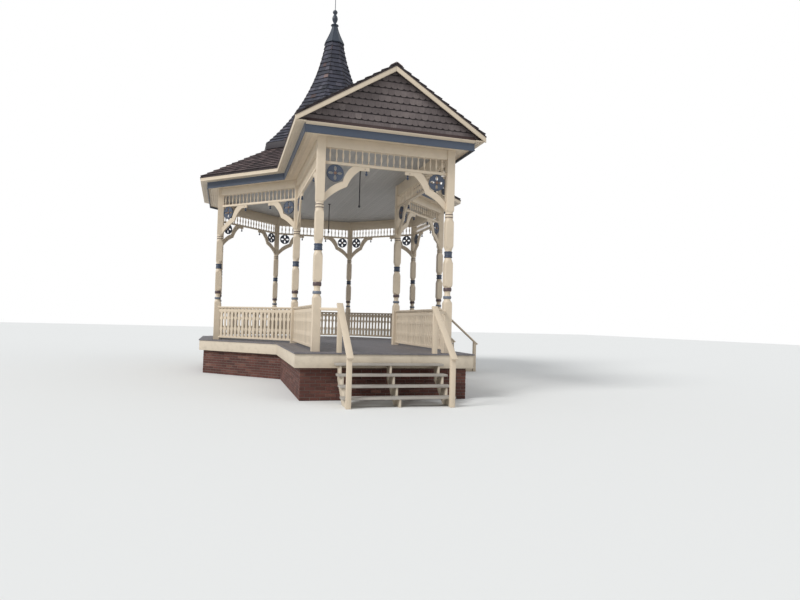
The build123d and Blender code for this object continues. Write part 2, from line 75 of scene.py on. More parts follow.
# Spreads and roof sizes
DECK_SPREAD = 0.51
WALL_SPREAD = 0.36
BAND_SPREAD = 0.435
BAND_INSIDE = 0.41
EAVE_INSIDE = 0.618
EAVE_SPREAD = 0.64
RAKE_SPREAD = 0.59
ROOF_SPREAD = 0.65
SLOPE = radians(32)
ROOF_APOTHEM = APOTHEM + ROOF_SPREAD
ROOF_HALF_WIDTH = BAY / 2 + ROOF_SPREAD
ROOF_EDGE = EAVE_TOP + 0.085
COLLAR_APOTHEM = 2.32
SPIRE_APOTHEM = 2.34
SPIRE_TOP_APOTHEM = 0.325
SPIRE_BOW = 0.33
POST_HALF = 0.0925
RAIL_SEAT = 0.02


def facing(angle):
    """Level unit vectors at an angle around the middle: outward, and to the left of that."""
    return Vector((cos(angle), sin(angle), 0)), Vector((-sin(angle), cos(angle), 0))


def outline_posts():
    """Middles of the posts in order around the outline, from the porch's left one."""
    radius = BAY / 2 / sin(pi / 8)
    places = [Vector((hand * BAY / 2, -PORCH_FRONT, 0)) for hand in (-1, 1)]
    return places + [radius * facing(radians(45 * index - 67.5))[0] for index in range(8)]


POSTS = outline_posts()
BAYS = range(len(POSTS))
PORCH_FRONT_BAY, PORCH_RIGHT_BAY, SIDE_STAIR_BAY, PORCH_LEFT_BAY = 0, 1, 3, 9
OCTAGON_BAYS = range(2, 9)


def bay_span(bay):
    """The vector from a bay's first post to its second."""
    return POSTS[(bay + 1) % len(POSTS)] - POSTS[bay]


def bay_frame(bay, level=0.0):
    """Matrix of a bay: x runs along it, y is up and z points outward."""
    along = bay_span(bay).normalized()
    middle = POSTS[bay] + bay_span(bay) / 2
    return Matrix((
        (along.x, 0, along.y, middle.x),
        (along.y, 0, -along.x, middle.y),
        (0, 1, 0, level),
        (0, 0, 0, 1),
    ))


def mitre_at(post):
    """How far a board's end runs on past a post for each unit of spread."""
    before, after = bay_span(post - 1), bay_span(post)
    return tan(atan2(before.cross(after).z, before.dot(after)) / 2)


MITRES = [mitre_at(post) for post in BAYS]


def signed_area(points):
    """Area of a flat outline, positive where it runs counter-clockwise."""
    pairs = zip(points, points[1:] + points[:1])
    return sum(x0 * y1 - x1 * y0 for (x0, y0), (x1, y1) in pairs) / 2


def clip(points, place, normal):
    """Part of a convex outline on the side of a line that its normal points to."""
    kept = []
    for start, end in zip(points, points[1:] + points[:1]):
        depth = [(x - place[0]) * normal[0] + (y - place[1]) * normal[1] for x, y in (start, end)]
        if depth[0] >= 0:
            kept.append(start)
        if (depth[0] < 0) != (depth[1] < 0):
            share = depth[0] / (depth[0] - depth[1])
            kept.append((
                start[0] + (end[0] - start[0]) * share,
                start[1] + (end[1] - start[1]) * share,
            ))
    return kept


def inset(points, distance):
    """Flat outline moved inward, or a hole's outline moved outward, by a small distance."""
    moved = []
    count = len(points)
    for index, (x, y) in enumerate(points):
        before, after = points[index - 1], points[(index + 1) % count]
        first = Vector((x - before[0], y - before[1])).normalized()
        second = Vector((after[0] - x, after[1] - y)).normalized()
        inward = Vector((-first.y - second.y, first.x + second.x))
        reach = distance * 2 / max(inward.length_squared, 0.5)
        moved.append((x + inward.x * reach, y + inward.y * reach))
    return moved


def arc(start, end, bow, steps):
    """Points of an arc that bulges to the left of its way by the bow, without its end."""
    chord = Vector(end) - Vector(start)
    left = Vector((-chord.y, chord.x)).normalized()
    radius = chord.length_squared / 8 / bow + bow / 2
    half = atan2(chord.length / 2, radius - bow)
    points = []
    for step in range(steps):
        angle = half * (2 * step / steps - 1)
        share = 0.5 + radius * sin(angle) / chord.length
        points.append(tuple(Vector(start) + chord * share + left * (radius * cos(angle) - radius + bow)))
    return points


def circle(x, y, radius, steps):
    """Counter-clockwise points of a circle."""
    turns = [2 * pi * step / steps for step in range(steps)]
    return [(x + radius * cos(turn), y + radius * sin(turn)) for turn in turns]


SOLID_EASE = 0.004
IN_PLACE = Matrix()


class Skin:
    """Points and faces of one piece while it is being made, with a tone and a paint for each face."""

    def __init__(self):
        self.points = []
        self.faces = []
        self.tones = []
        self.marks = []

    def stack(self, rings, place=IN_PLACE, tone=0.5, marks=0):
        """Skin over rings of as many points each, with a face at both ends."""
        count = len(rings[0])
        if isinstance(marks, int):
            marks = [marks] * len(rings)
        first = len(self.points)
        self.points += [place @ Vector(point) for ring in rings for point in ring]
        self.faces.append([first + index for index in reversed(range(count))])
        self.faces.append([first + (len(rings) - 1) * count + index for index in range(count)])
        self.marks += [marks[0], marks[-1]]
        for row, mark in enumerate(marks[:-1]):
            self.strip(first + row * count, first + (row + 1) * count, count)
            self.marks += [mark] * count
        self.tones += [tone] * (len(self.faces) - len(self.tones))

    def strip(self, low, high, count):
        """Faces between two rings, by where the points of each begin and how many they are."""
        for index in range(count):
            after = (index + 1) % count
            self.faces.append([low + index, low + after, high + after, high + index])

    def box(self, low, high, place, ease, tone):
        """Board with eased edges, between two opposite corners."""
        rings = []
        for z, shrink in ((low[2], ease), (low[2] + ease, 0), (high[2] - ease, 0), (high[2], ease)):
            x0, x1, y0, y1 = low[0] + shrink, high[0] - shrink, low[1] + shrink, high[1] - shrink
            rings.append([
                (x0 + ease, y0, z), (x1 - ease, y0, z), (x1, y0 + ease, z), (x1, y1 - ease, z),
                (x1 - ease, y1, z), (x0 + ease, y1, z), (x0, y1 - ease, z), (x0, y0 + ease, z),
            ])
        self.stack(rings, place, tone)

    def slab(self, outline, low, high, place, ease, tone):
        """Flat piece of a convex outline whose upper edge is eased."""
        rings = [[(x, y, low) for x, y in outline], [(x, y, high - ease) for x, y in outline]]
        rings.append([(x, y, high) for x, y in inset(outline, ease)])
        self.stack(rings, place, tone)

    def run(self, bay, section, ends=(None, None), joint=0.001, tone=0.5, mark=0):
        """Moulding along a bay from a section in spread and level, mitred unless an end is given."""
        half = bay_span(bay).length / 2
        if signed_area(section) > 0:
            section = section[::-1]
        rings = []
        for side, post, end in ((-1, bay, ends[0]), (1, (bay + 1) % len(POSTS), ends[1])):
            ring = []
            for spread, level in section:
                past = MITRES[post] * spread - joint if end is None else end
                ring.append((side * (half + past), level, spread))
            rings.append(ring)
        self.stack(rings, bay_frame(bay), tone, mark)

    def lathe(self, profile, sides, place, tone=0.5, mark=0):
        """Turned piece from pairs of radius and level."""
        rings = [[(x, y, level) for x, y in circle(0, 0, radius, sides)] for radius, level in profile]
        self.stack(rings, place, tone, mark)

    def sawn(self, outlines, thickness, place, ease, tone, mark=0):
        """Flat piece with any outline and any holes, sawn from a board, with eased edges."""
        loops = [
            loop if (signed_area(loop) > 0) == (index == 0) else loop[::-1]
            for index, loop in enumerate(outlines)
        ]
        half = thickness / 2
        inner = [inset(loop, ease) for loop in loops]
        starts = []
        for level_loops, z in ((inner, -half), (loops, ease - half), (loops, half - ease), (inner, half)):
            starts.append(len(self.points))
            self.points += [place @ Vector((x, y, z)) for loop in level_loops for x, y in loop]
        for low, high in zip(starts, starts[1:]):
            for loop in loops:
                self.strip(low, high, len(loop))
                low, high = low + len(loop), high + len(loop)
        flat = [point for loop in inner for point in loop]
        for corners in tessellate_polygon([[Vector((x, y, 0)) for x, y in loop] for loop in inner]):
            corners = list(corners)
            if signed_area([flat[corner] for corner in corners]) < 0:
                corners.reverse()
            self.faces.append([starts[3] + corner for corner in corners])
            self.faces.append([starts[0] + corner for corner in reversed(corners)])
        added = len(self.faces) - len(self.tones)
        self.tones += [tone] * added
        self.marks += [mark] * added

    def finish(self, name, paints, node, slot, smooth=35):
        """Make this skin, with its paints, a piece of the scene that may replace a node."""
        data = bpy.data.meshes.new(name)
        data.from_pydata([tuple(point) for point in self.points], [], self.faces)
        for paint in paints:
            data.materials.append(paint)
        data.polygons.foreach_set("material_index", self.marks)
        polish(data, self.tones, smooth)
        settle(name, data, node, slot)


def polish(data, tones, smooth=35):
    """Give each face its tone, which the paints read, and shade all but sharp edges smooth."""
    layer = data.attributes.new("tone", "FLOAT", "FACE")
    layer.data.foreach_set("value", tones)
    data.shade_smooth()
    data.update()
    data.set_sharp_from_angle(angle=radians(smooth))


def settle(name, data, node, slot):
    """Put a finished mesh in the scene, and hide the solid that it replaces."""
    piece = bpy.data.objects.new(name, data)
    bpy.context.scene.collection.objects.link(piece)
    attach(piece, "root")
    if node:
        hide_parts(node)


def eased_copy(node, paint, slot):
    """Piece with the shape of a solid whose sharp edges are eased."""
    shape = bmesh.new()
    shape.from_mesh(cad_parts[node].data)
    bmesh.ops.remove_doubles(shape, verts=shape.verts, dist=1e-5)
    bmesh.ops.dissolve_limit(shape, angle_limit=radians(1), verts=shape.verts, edges=shape.edges)
    sharp = [edge for edge in shape.edges if edge.is_manifold and edge.calc_face_angle() > radians(20)]
    bmesh.ops.bevel(
        shape, geom=sharp, offset=SOLID_EASE, segments=2, profile=0.5, affect="EDGES", clamp_overlap=True
    )
    name = node + "_eased"
    data = bpy.data.meshes.new(name)
    shape.to_mesh(data)
    shape.free()
    data.materials.clear()
    data.materials.append(paint)
    polish(data, [0.5] * len(data.polygons))
    settle(name, data, node, slot)


class Finish:
    """Procedural material put together node by node."""

    def __init__(self, name, roughness):
        self.material = bpy.data.materials.new(name)
        self.material.use_nodes = True
        self.nodes = self.material.node_tree.nodes
        self.links = self.material.node_tree.links
        self.shader = self.nodes["Principled BSDF"]
        self.shader.inputs["Roughness"].default_value = roughness
        self.place = self.nodes.new("ShaderNodeTexCoord").outputs["Object"]
        attribute = self.nodes.new("ShaderNodeAttribute")
        attribute.attribute_name = "tone"
        self.tone = attribute.outputs["Fac"]

    def noise(self, scale, detail=3.0, stretch=(1, 1, 1)):
        """Cloudy factor whose cells can be stretched along an axis by a small number."""
        mapping = self.nodes.new("ShaderNodeMapping")
        mapping.inputs["Scale"].default_value = stretch
        self.links.new(self.place, mapping.inputs["Vector"])
        cloud = self.nodes.new("ShaderNodeTexNoise")
        cloud.inputs["Scale"].default_value = scale
        cloud.inputs["Detail"].default_value = detail
        self.links.new(mapping.outputs["Vector"], cloud.inputs["Vector"])
        return cloud.outputs["Fac"]

    def ramp(self, factor, *stops):
        """Colour from a factor by stops of a position and a colour."""
        ramp = self.nodes.new("ShaderNodeValToRGB")
        points = ramp.color_ramp.elements
        while len(points) < len(stops):
            points.new(0.5)
        for point, (position, colour) in zip(points, stops):
            point.position = position
            point.color = (*colour, 1)
        self.links.new(factor, ramp.inputs["Fac"])
        return ramp.outputs["Color"]

    def blend(self, kind, factor, first, second):
        """Mix of two colours, each a socket or a plain colour, by a number or a socket."""
        mix = self.nodes.new("ShaderNodeMix")
        mix.data_type = "RGBA"
        mix.blend_type = kind
        for name, value in (("Factor", factor), ("A", first), ("B", second)):
            if isinstance(value, bpy.types.NodeSocket):
                self.links.new(value, mix.inputs[name])
            else:
                mix.inputs[name].default_value = value if isinstance(value, float) else (*value, 1)
        return mix.outputs["Result"]

    def colour(self, socket):
        """Use a colour as the surface's own."""
        self.links.new(socket, self.shader.inputs["Base Color"])

    def bump(self, height, distance):
        """Raise the surface by a factor, in metres."""
        bump = self.nodes.new("ShaderNodeBump")
        bump.inputs["Distance"].default_value = distance
        self.links.new(height, bump.inputs["Height"])
        self.links.new(bump.outputs["Normal"], self.shader.inputs["Normal"])


# Paints and bare surfaces
def grey(value):
    """Even grey of a value."""
    return (value, value, value)


def painted(name, colour, roughness=0.5, dirt=0.25):
    """Brushed oil paint with slight fading, faint brush marks and some grime."""
    finish = Finish(name, roughness)
    faded = tuple(min(1, part * 1.06 + 0.01) for part in colour)
    grimy = tuple(part * 0.72 for part in colour)
    base = finish.ramp(finish.noise(0.9), (0.35, colour), (0.7, faded))
    spots = finish.ramp(finish.noise(7, 6), (0.48, grey(0)), (0.8, grey(dirt)))
    shade = finish.blend("MIX", spots, base, grimy)
    board = finish.ramp(finish.tone, (0.0, grey(0.93)), (1.0, grey(1.05)))
    finish.colour(finish.blend("MULTIPLY", 1.0, shade, board))
    finish.bump(finish.noise(60, 3, (1, 1, 0.15)), 0.0006)
    return finish.material


def weathered(name, dark, middle, pale, roughness=0.85, grain=90):
    """Weathered wood or shingle with its own tone on each piece and a fine grain."""
    finish = Finish(name, roughness)
    base = finish.ramp(finish.tone, (0.0, dark), (0.55, middle), (1.0, pale))
    stains = finish.ramp(finish.noise(1.6, 5), (0.3, grey(0.8)), (0.7, grey(1.12)))
    stained = finish.blend("MULTIPLY", 1.0, base, stains)
    lines = finish.noise(grain, 3, (1, 1, 0.12))
    shade = finish.ramp(lines, (0.3, grey(0.78)), (0.7, grey(1.1)))
    finish.colour(finish.blend("MULTIPLY", 1.0, stained, shade))
    finish.bump(lines, 0.002)
    return finish.material


CREAM = painted("cream_paint", (0.61, 0.51, 0.385))
BLUE = painted("blue_paint", (0.058, 0.075, 0.108), 0.45)
DISC_BLUE = painted("disc_blue_paint", (0.055, 0.070, 0.105), 0.45)
DEEP_BLUE = painted("deep_blue_paint", (0.036, 0.050, 0.085), 0.45)
SLATE = painted("slate_paint", (0.13, 0.15, 0.19), 0.45)
BROWN = painted("brown_paint", (0.080, 0.050, 0.052), 0.45)
UMBER = painted("umber_paint", (0.032, 0.025, 0.029), 0.6)
OCHRE = painted("ochre_paint", (0.17, 0.095, 0.062), 0.45)
CEILING = painted("ceiling_paint", (0.40, 0.385, 0.365), 0.6)
FLOOR = painted("floor_paint", (0.145, 0.135, 0.145), 0.55, 0.6)
STAIRS = painted("stair_boards", (0.36, 0.33, 0.29), 0.65, 0.6)
FASCIA = painted("fascia_paint", (0.58, 0.50, 0.39), 0.6, 0.6)
TIMBER = weathered("rough_timber", (0.20, 0.13, 0.08), (0.28, 0.19, 0.12), (0.34, 0.24, 0.16))
SHINGLES = weathered("wood_shingles", (0.044, 0.031, 0.032), (0.112, 0.073, 0.073), (0.27, 0.195, 0.180))
GABLE = weathered("gable_shingles", (0.115, 0.092, 0.090), (0.150, 0.122, 0.118), (0.190, 0.157, 0.148))
LEDGE = painted("ledge_paint", (0.048, 0.028, 0.026), 0.6)
# Painted shade: a near-black shingle colour for butt edges, undersides and the gaps between rows, where shade
# falls
PAINTED_SHADE = weathered("painted_shade_shingles", (0.020, 0.015, 0.016), (0.030, 0.023, 0.024), (0.040, 0.031, 0.032))
SPIRE = weathered("spire_slates", (0.018, 0.020, 0.030), (0.044, 0.045, 0.066), (0.115, 0.107, 0.132), 0.7)
METAL = painted("cap_metal", (0.030, 0.039, 0.055), 0.4)
IRON = painted("dark_iron", (0.04, 0.04, 0.045), 0.5)
BRICK = weathered("brick", (0.070, 0.026, 0.020), (0.125, 0.045, 0.034), (0.215, 0.105, 0.075), 0.9, 120)
MORTAR = weathered("mortar", (0.150, 0.125, 0.105), (0.180, 0.150, 0.125), (0.215, 0.180, 0.150), 0.95, 160)


# Brick foundation: courses of bricks in front of a core of mortar
BRICK_LENGTH = 0.225
BRICK_DEPTH = 0.1
BRICK_EASE = 0.004
BRICK_JOINT = 0.010
COURSES = 11
MORTAR_SPREAD = WALL_SPREAD - 0.007
WALL_INSIDE = 0.13


def brick_wall():
    """Bricks in stretcher bond around the outline, and the mortar between and behind them."""
    skin = Skin()
    height = WALL_TOP / COURSES
    for bay in BAYS:
        half = bay_span(bay).length / 2
        mitres = MITRES[bay], MITRES[(bay + 1) % len(POSTS)]
        left, right = -half - WALL_SPREAD * mitres[0], half + WALL_SPREAD * mitres[1]
        count = round((right - left) / BRICK_LENGTH)
        pitch = (right - left) / count
        for course in range(COURSES):
            low, high = course * height + BRICK_JOINT / 2, (course + 1) * height - BRICK_JOINT / 2
            shift = pitch / 2 if course % 2 else 0
            for index in range(count + course % 2):
                start = max(left, left + index * pitch - shift)
                end = min(right, left + (index + 1) * pitch - shift)
                taper = [
                    mitres[0] * BRICK_DEPTH if start == left else 0,
                    mitres[1] * BRICK_DEPTH if end == right else 0,
                ]
                face = WALL_SPREAD + RANDOM.uniform(-0.002, 0.002)
                levels = (WALL_SPREAD - BRICK_DEPTH, 0, 1), (face - BRICK_EASE, 0, 0), (face, BRICK_EASE, 0)
                rings = []
                for spread, ease, share in levels:
                    x0 = start + BRICK_JOINT / 2 + taper[0] * share + ease
                    x1 = end - BRICK_JOINT / 2 - taper[1] * share - ease
                    rings.append([
                        (x0, low + ease, spread), (x1, low + ease, spread),
                        (x1, high - ease, spread), (x0, high - ease, spread),
                    ])
                skin.stack(rings, bay_frame(bay), RANDOM.betavariate(2, 3.2))
        core = [(MORTAR_SPREAD, 0), (MORTAR_SPREAD, WALL_TOP), (WALL_INSIDE, WALL_TOP), (WALL_INSIDE, 0)]
        skin.run(bay, core, joint=0, tone=RANDOM.random(), mark=1)
    skin.finish("brick_wall", [BRICK, MORTAR], "foundation_wall", "brick")


brick_wall()
for node, paint in {"centre_pier": BRICK, "rim_beams": TIMBER, "floor_joists": TIMBER}.items():
    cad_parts[node].data.materials.clear()
    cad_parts[node].data.materials.append(paint)


# Floors and ceilings of narrow boards that run from front to back
FLOOR_BOARD = 0.134
CEILING_BOARD = 0.1
CEILING_SPREAD = 0.07
CEILING_TOP = BEAM_TOP + 0.02
BOARD_GAP = 0.003
BEYOND = 9
TURNED_OVER = Matrix.Diagonal((1, -1, -1, 1))


def board_outline(start, end, spread, porch):
    """Outline of a board between two places across, cut to the octagon or to the porch."""
    if porch:
        front, corner = -PORCH_FRONT - spread, (APOTHEM + spread) * tan(pi / 8)
        backs = [-APOTHEM - spread + max(0, abs(x) - corner) - 0.002 for x in (start, end)]
        return [(start, front), (end, front), (end, backs[1]), (start, backs[0])]
    board = [(start, -BEYOND), (end, -BEYOND), (end, BEYOND), (start, BEYOND)]
    for turn in range(8):
        out = facing(turn * pi / 4)[0].xy
        board = clip(board, tuple(out * (APOTHEM + spread)), tuple(-out))
    return board


def boarded(node, spread, width, low, high, paint, slot):
    """Boards in place of a floor or a ceiling, with eased edges on the side that shows."""
    skin = Skin()
    porch = node.startswith("porch")
    half = (BAY / 2 if porch else APOTHEM) + spread
    count = round(2 * half / width)
    pitch = 2 * half / count
    for index in range(count):
        start, end = index * pitch - half + BOARD_GAP / 2, (index + 1) * pitch - half - BOARD_GAP / 2
        board = board_outline(start, end, spread, porch)
        if node.endswith("ceiling"):
            board = [(x, -y) for x, y in reversed(board)]
            skin.slab(board, -high, -low, TURNED_OVER, 0.002, RANDOM.random())
        else:
            skin.slab(board, low, high, IN_PLACE, 0.003, RANDOM.random())
    skin.finish(node + "_boards", [paint], node, slot)


for node in ("octagon_floor", "porch_floor"):
    boarded(node, DECK_SPREAD, FLOOR_BOARD, FRAME_TOP, DECK, FLOOR, "floor_paint")
for node in ("octagon_ceiling", "porch_ceiling"):
    boarded(node, CEILING_SPREAD, CEILING_BOARD, BEAM_TOP, CEILING_TOP, CEILING, "ceiling_paint")

# Boards that keep the shape of their solids, with eased edges
for paint, slot, nodes in (
    (FASCIA, "cream_paint", ("deck_fascia", "front_stringers", "side_stringers")),
    (STAIRS, "stair_boards", ("front_treads", "side_treads")),
    (CREAM, "cream_paint", ("front_newels", "side_newels", "front_handrails", "side_handrails", "beams")),
    (UMBER, "brown_paint", ("collar",)),
    (CREAM, "cream_paint", ("rake_boards",)),
):
    for node in nodes:
        eased_copy(node, paint, slot)


# Turned posts: a square blank meets the lathe, so each stop ends in a lamb's tongue.
# A ring of the profile is its radius, its level and the number of its paint.
FULL = 0.1269
POST_PROFILE = (
    (0.1225, 0.0, 0), (FULL, 0.005, 0), (FULL, 1.150, 0), (0.118, 1.167, 0), (0.102, 1.186, 0),
    (0.088, 1.206, 0), (0.079, 1.226, 0), (0.075, 1.242, 0), (0.078, 1.251, 0),
    (0.088, 1.254, 1), (0.094, 1.264, 1), (0.097, 1.287, 1), (0.094, 1.310, 1), (0.088, 1.320, 0),
    (0.076, 1.327, 0), (0.070, 1.346, 0), (0.068, 1.375, 0), (0.070, 1.404, 0), (0.076, 1.423, 0),
    (0.088, 1.430, 2), (0.095, 1.444, 2), (0.099, 1.474, 2), (0.095, 1.504, 2), (0.088, 1.518, 0),
    (0.083, 1.523, 0), (0.086, 1.530, 0), (0.098, 1.538, 0), (0.112, 1.552, 0), (0.122, 1.572, 0),
    (FULL, 1.600, 0), (FULL, 2.084, 0), (0.120, 2.101, 0), (0.106, 2.125, 0), (0.094, 2.150, 0),
    (0.085, 2.175, 0), (0.079, 2.195, 0), (0.077, 2.206, 0),
    (0.086, 2.211, 3), (0.093, 2.219, 3), (0.097, 2.235, 3), (0.093, 2.251, 3), (0.086, 2.260, 3),
    (0.083, 2.266, 4), (0.089, 2.276, 4), (0.091, 2.288, 4), (0.089, 2.300, 4), (0.083, 2.310, 4),
    (0.086, 2.316, 3), (0.093, 2.325, 3), (0.097, 2.341, 3), (0.093, 2.357, 3), (0.086, 2.365, 0),
    (0.077, 2.371, 0), (0.079, 2.382, 0), (0.085, 2.402, 0), (0.094, 2.427, 0), (0.106, 2.450, 0),
    (0.118, 2.466, 0), (FULL, 2.486, 0), (FULL, 3.044, 0), (0.120, 3.060, 0), (0.107, 3.082, 0),
    (0.096, 3.103, 0), (0.090, 3.119, 0), (0.088, 3.132, 0),
    (0.095, 3.139, 0), (0.097, 3.150, 2), (0.088, 3.155, 2), (0.087, 3.160, 2), (0.088, 3.165, 2),
    (0.097, 3.170, 0), (0.098, 3.193, 0), (0.097, 3.216, 2), (0.088, 3.221, 2), (0.087, 3.226, 2),
    (0.088, 3.231, 2), (0.097, 3.236, 0), (0.095, 3.247, 0), (0.087, 3.253, 0),
    (0.084, 3.262, 0), (0.086, 3.275, 0), (0.094, 3.288, 0), (0.106, 3.301, 0), (0.118, 3.316, 0),
    (FULL, 3.335, 0), (FULL, 4.840, 0),
)
POST_TURNS = [
    radians(90 * quarter + step)
    for quarter in range(4)
    for step in (0, 9, 18, 27, 36, 43.2, 46.8, 54, 63, 72, 81)
]


def turned_posts(node, places):
    """Posts at these places, each a stack of rings cut from a square blank."""
    skin = Skin()
    rings, marks = [], []
    for radius, level, mark in POST_PROFILE:
        ring = []
        for turn in POST_TURNS:
            reach = min(radius, POST_HALF / max(abs(cos(turn)), abs(sin(turn))))
            ring.append((reach * cos(turn), reach * sin(turn), level))
        rings.append(ring)
        marks.append(mark)
    for place in places:
        skin.stack(rings, Matrix.Translation(place + Vector((0, 0, DECK))), RANDOM.random(), marks)
    skin.finish(node + "_turned", [CREAM, SLATE, BROWN, DEEP_BLUE, BLUE], node, "cream_paint", 30)


turned_posts("porch_posts", POSTS[:2])
turned_posts("octagon_posts", POSTS[2:])

# Friezes: a rail and a row of turned spindles under each beam
SPINDLES_PER_BAY = 19
SPINDLE_PITCH = 0.147
SPINDLE = (
    (0.013, 0.0), (0.013, 0.010), (0.020, 0.016), (0.022, 0.024), (0.020, 0.032), (0.012, 0.040),
    (0.010, 0.052), (0.013, 0.070), (0.020, 0.100), (0.024, 0.128), (0.024, 0.172), (0.020, 0.200),
    (0.013, 0.230), (0.010, 0.248), (0.012, 0.260), (0.020, 0.268), (0.022, 0.276), (0.020, 0.284),
    (0.013, 0.290), (0.013, 0.300),
)


def friezes(node, bays):
    """Frieze rails with their spindles."""
    skin = Skin()
    for bay in bays:
        length = bay_span(bay).length
        reach = length / 2 - POST_HALF + RAIL_SEAT
        place = bay_frame(bay)
        skin.box((-reach, FRIEZE_BOTTOM, -0.035), (reach, RAIL_TOP, 0.035), place, 0.005, RANDOM.random())
        count = SPINDLES_PER_BAY + round((length - BAY) / SPINDLE_PITCH)
        for index in range(count):
            x = (index - (count - 1) / 2) * SPINDLE_PITCH
            spot = place @ Vector((x, RAIL_TOP, 0))
            skin.lathe(SPINDLE, 12, Matrix.Translation(spot), RANDOM.random())
    skin.finish(node + "_turned", [CREAM], node, "cream_paint", 40)


friezes("porch_friezes", (PORCH_FRONT_BAY, PORCH_RIGHT_BAY, PORCH_LEFT_BAY))
friezes("octagon_friezes", OCTAGON_BAYS)

# Brackets, pierced discs and drop pendants in the upper corners of the bays
BRACKET_BOW = 0.038
BRACKET_INSIDE = 0.06


def from_post(reach, drop):
    """Point in the corner of a bay, from the middle of its post and the underside of the frieze."""
    return POST_HALF + reach, -drop


def bracket_outline():
    """Outline of the bowed bracket, counter-clockwise from its foot."""
    foot, cusp, toe = from_post(0, 0.85), from_post(0.507, 0.478), from_post(0.8, 0.085)
    end, corner = from_post(1.01, 0.085), from_post(1.01, 0)
    spring, inner, heel = from_post(0.629, 0), from_post(0.413, 0.363), from_post(0, 0.66)
    points = arc(foot, cusp, BRACKET_BOW, 14) + arc(cusp, toe, BRACKET_BOW, 14)
    points += [toe, end, corner]
    points += bowed_back(inner, spring)
    points += bowed_back(heel, inner)
    points += [heel, (BRACKET_INSIDE, heel[1]), (BRACKET_INSIDE, foot[1])]
    return points


def bowed_back(start, end):
    """The arc from start to end, run the other way and without its far end."""
    return [end] + arc(start, end, BRACKET_BOW, 12)[:0:-1]


def petal(turn, centre):
    """Pointed oval opening in a disc, with its middle line at an angle."""
    tip, root, half_width = 0.163, 0.042, 0.032
    near, far = [facing(turn)[0].xy * reach + Vector(centre) for reach in (root, tip)]
    return arc(near, far, half_width, 8) + arc(far, near, half_width, 8)


def corner_places(level):
    """Matrices for both corners of every bay: x leads away from the post, y is up."""
    places = []
    for bay in BAYS:
        half = bay_span(bay).length / 2
        middle = bay_frame(bay, level)
        places.append(middle @ Matrix.Translation((-half, 0, 0)))
        places.append(middle @ Matrix.Translation((half, 0, 0)) @ Matrix.Rotation(pi, 4, "Y"))
    return places


BOSS = (
    (0.0, -0.030), (0.018, -0.029), (0.030, -0.024), (0.036, -0.015), (0.036, 0.015),
    (0.030, 0.024), (0.018, 0.029), (0.0, 0.030),
)
PENDANT = (
    (0.010, -0.104), (0.021, -0.099), (0.028, -0.088), (0.030, -0.074), (0.028, -0.061), (0.021, -0.051),
    (0.013, -0.044), (0.013, -0.036), (0.020, -0.032), (0.024, -0.024), (0.020, -0.016), (0.016, -0.012),
    (0.016, 0.0),
)
DISC = from_post(0.234, 0.190)
DISC_RADIUS, HOOP_WIDTH = 0.193, 0.016
PENDANT_SPOT = from_post(0.945, 0.085)
TOE_HOLE = from_post(0.905, 0.043)

brackets, discs, pendants = Skin(), Skin(), Skin()
for place in corner_places(FRIEZE_BOTTOM):
    hole = circle(*TOE_HOLE, 0.013, 12)
    brackets.sawn([bracket_outline(), hole], 0.045, place, 0.004, RANDOM.random())
    plate = [circle(*DISC, DISC_RADIUS, 40)] + [petal(pi / 2 * quarter, DISC) for quarter in range(4)]
    discs.sawn(plate, 0.026, place, 0.003, RANDOM.random())
    hoop = [circle(*DISC, DISC_RADIUS, 40), circle(*DISC, DISC_RADIUS - HOOP_WIDTH, 40)]
    discs.sawn(hoop, 0.040, place, 0.004, RANDOM.random(), 1)
    discs.lathe(BOSS, 20, place @ Matrix.Translation((*DISC, 0)), 0.5, 2)
    spot = Matrix.Translation(place @ Vector((*PENDANT_SPOT, 0)))
    pendants.lathe(PENDANT, 16, spot, RANDOM.random())
brackets.finish("sawn_brackets", [CREAM], "brackets", "cream_paint")
discs.finish("pierced_discs", [DISC_BLUE, BLUE, OCHRE], "corner_discs", "blue_paint")
pendants.finish("turned_pendants", [DEEP_BLUE], "drop_pendants", "blue_paint", 40)

# Guards: sawn balusters between a bottom rail, a board and a moulded cap
BALUSTER_EDGE = (
    (0.060, 0.090), (0.060, 0.122), (0.052, 0.130), (0.046, 0.145), (0.044, 0.200), (0.045, 0.280),
    (0.050, 0.296), (0.060, 0.310), (0.0625, 0.325), (0.0625, 0.365), (0.058, 0.380), (0.044, 0.396),
    (0.038, 0.420), (0.036, 0.510), (0.038, 0.605), (0.044, 0.628), (0.058, 0.644), (0.0625, 0.656),
    (0.0625, 0.692), (0.058, 0.706), (0.044, 0.722), (0.039, 0.745), (0.040, 0.810), (0.046, 0.832),
    (0.058, 0.850), (0.060, 0.875),
)
BALUSTER_PITCH = 0.147
# Low side, high side and half width of each rail
GUARD_RAILS = (
    (0.060, 0.110, 0.030), (0.866, 0.948, 0.0225), (0.975, 0.998, 0.045), (0.998, 1.030, 0.060),
)


def guards(node, bays):
    """Guards of these bays."""
    skin = Skin()
    baluster = list(BALUSTER_EDGE) + [(-half, level) for half, level in reversed(BALUSTER_EDGE)]
    for bay in bays:
        length = bay_span(bay).length
        reach = length / 2 - POST_HALF + RAIL_SEAT
        place = bay_frame(bay, DECK)
        for low, high, half in GUARD_RAILS:
            skin.box((-reach, low, -half), (reach, high, half), place, 0.005, RANDOM.random())
        count = int((length - 2 * POST_HALF) / BALUSTER_PITCH)
        for index in range(count):
            x = (index - (count - 1) / 2) * BALUSTER_PITCH
            spot = place @ Matrix.Translation((x, 0, 0))
            skin.sawn([baluster], 0.032, spot, 0.003, RANDOM.random())
            skin.box((-0.045, 0.940, -0.016), (0.045, 0.980, 0.016), spot, 0.003, RANDOM.random())
    skin.finish(node + "_sawn", [CREAM], node, "cream_paint")


guards("octagon_guards", [bay for bay in OCTAGON_BAYS if bay != SIDE_STAIR_BAY])
guards("porch_guards", [PORCH_RIGHT_BAY, PORCH_LEFT_BAY])

